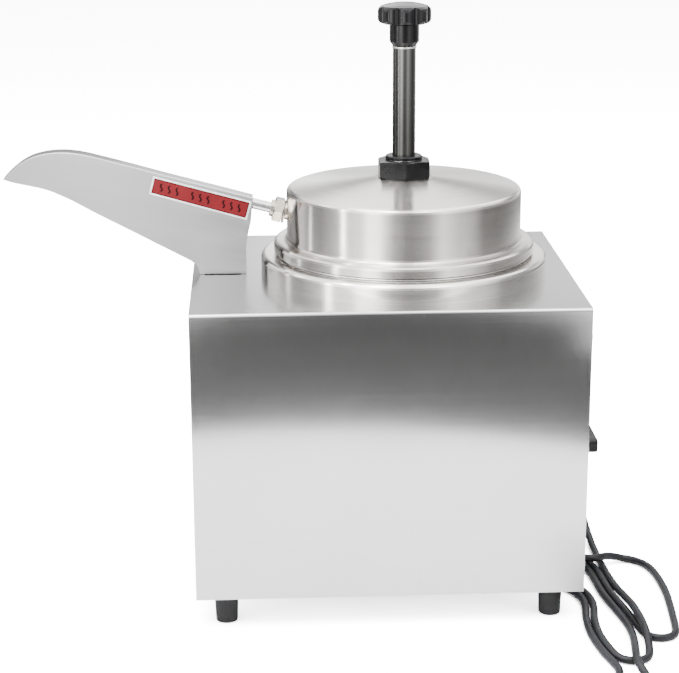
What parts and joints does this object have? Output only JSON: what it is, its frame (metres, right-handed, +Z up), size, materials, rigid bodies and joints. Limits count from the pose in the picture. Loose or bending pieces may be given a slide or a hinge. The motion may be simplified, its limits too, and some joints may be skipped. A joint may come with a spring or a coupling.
{
  "type": "nacho cheese dispenser",
  "caption": "Heated stainless counter cabinet with a lift-out pot, a push-down piston pump in its lid, a shrouded spout, rear controls and a mains cord.",
  "frame": {"origin": "on the counter under the middle of the bounding box of the whole object without its cord", "axes": "+Z up; the spout points to -Y and the rear controls face +Y; +X is the side the cord hank lies towards"},
  "size_m": [0.3865, 0.5071, 0.45],
  "materials": {
    "stainless": "brushed sheet, long straight grain",
    "spun_steel": "spun and circular brushed",
    "pump_steel": "polished stainless tube",
    "zinc": "bright zinc plated",
    "black_plastic": "moulded, slightly glossy",
    "matte_black": "moulded, fine texture",
    "rubber": "moulded rubber",
    "cord_pvc": "dark grey flexible sheath",
    "label_red": "printed vinyl",
    "dial_grey": "printed aluminium plate",
    "lens_red": "moulded transparent red",
    "rocker_red": "translucent red plastic",
    "brass": "turned",
    "copper": "drawn tube",
    "mica": "mica laminate",
    "insulation": "glass fibre blanket",
    "nylon_white": "moulded nylon",
    "silicone": "silicone mat",
    "wire_red": "silicone insulated wire",
    "pump_plastic": "food grade plastic"
  },
  "bodies": {
    "cabinet": {"cabinet_wrap": "stainless", "front_panel": "stainless", "rear_panel": "stainless", "base_plate": "stainless", "rubber_feet": "rubber", "foot_screws": "zinc", "foot_nuts": "zinc", "rear_panel_screws": "zinc", "well_collar": "spun_steel", "heating_well": "spun_steel", "collar_studs_and_nuts": "zinc", "insulation_blanket": "insulation", "heater_plate": "mica", "heater_clamp_plate": "stainless", "thermal_cutout": "matte_black", "thermostat_body": "matte_black", "thermostat_capillary": "copper", "dial_plate": "dial_grey", "switch_housing": "black_plastic", "pilot_lamp_body": "matte_black", "pilot_lamp_lens": "lens_red", "terminal_block": "nylon_white", "earth_stud": "brass", "internal_wiring": "wire_red", "cord_strain_relief": "matte_black", "power_cord": "cord_pvc", "power_cord_hank": "cord_pvc", "power_plug": "cord_pvc", "plug_pins": "brass", "heater_socket": "black_plastic"},
    "control_knob": {"thermostat_spindle": "zinc", "thermostat_knob": "black_plastic"},
    "rocker": {"rocker_button": "rocker_red"},
    "pot": {"inner_pot": "spun_steel"},
    "pump": {"pump_lid": "spun_steel", "lid_lock_nut": "black_plastic", "pump_cylinder": "pump_steel", "shaft_bush": "black_plastic", "valve_body": "pump_plastic", "riser_tube": "pump_steel", "discharge_fitting": "pump_steel", "fitting_washer": "zinc", "fitting_nut": "zinc", "spout_tube": "pump_steel"},
    "inlet_valve": {"inlet_ball": "pump_steel"},
    "outlet_valve": {"outlet_ball": "pump_steel"},
    "plunger": {"plunger_tube": "pump_steel", "piston": "pump_plastic", "piston_seal": "rubber", "shaft_end_plug": "pump_steel", "knob_washer": "zinc", "knob_stud": "zinc", "star_knob": "black_plastic", "return_spring": "pump_steel"},
    "shroud": {"spout_shroud": "stainless", "shroud_label": "label_red", "spout_heater_pad": "silicone", "shroud_plug": "black_plastic"}
  },
  "joints": [
    {"name": "pot_lift", "type": "slide", "parent": "cabinet", "child": "pot", "axis": [0, 0, 1], "range_m": [0, 0.18]},
    {"name": "lid_lift", "type": "slide", "parent": "pot", "child": "pump", "axis": [0, 0, 1], "range_m": [0, 0.18]},
    {"name": "plunger_stroke", "type": "slide", "parent": "pump", "child": "plunger", "axis": [0, 0, -1], "range_m": [0, 0.075], "stiffness_N_per_m": 120, "springref_m": -0.1, "deforming": ["return_spring"]},
    {"name": "inlet_ball_lift", "type": "slide", "parent": "pump", "child": "inlet_valve", "axis": [0, 0, 1], "range_m": [0, 0.003]},
    {"name": "outlet_ball_lift", "type": "slide", "parent": "pump", "child": "outlet_valve", "axis": [0, 0, 1], "range_m": [0, 0.003]},
    {"name": "shroud_lift", "type": "slide", "parent": "pump", "child": "shroud", "axis": [0, 0, 1], "range_m": [0, 0.03]},
    {"name": "thermostat_turn", "type": "hinge", "parent": "cabinet", "child": "control_knob", "pos_m": [0, 0.2068, 0.1025], "axis": [0, 1, 0], "range_deg": [-270, 0]},
    {"name": "power_switch", "type": "hinge", "parent": "cabinet", "child": "rocker", "pos_m": [0.062, 0.1983, 0.1025], "axis": [1, 0, 0], "range_deg": [0, 18]}
  ]
}
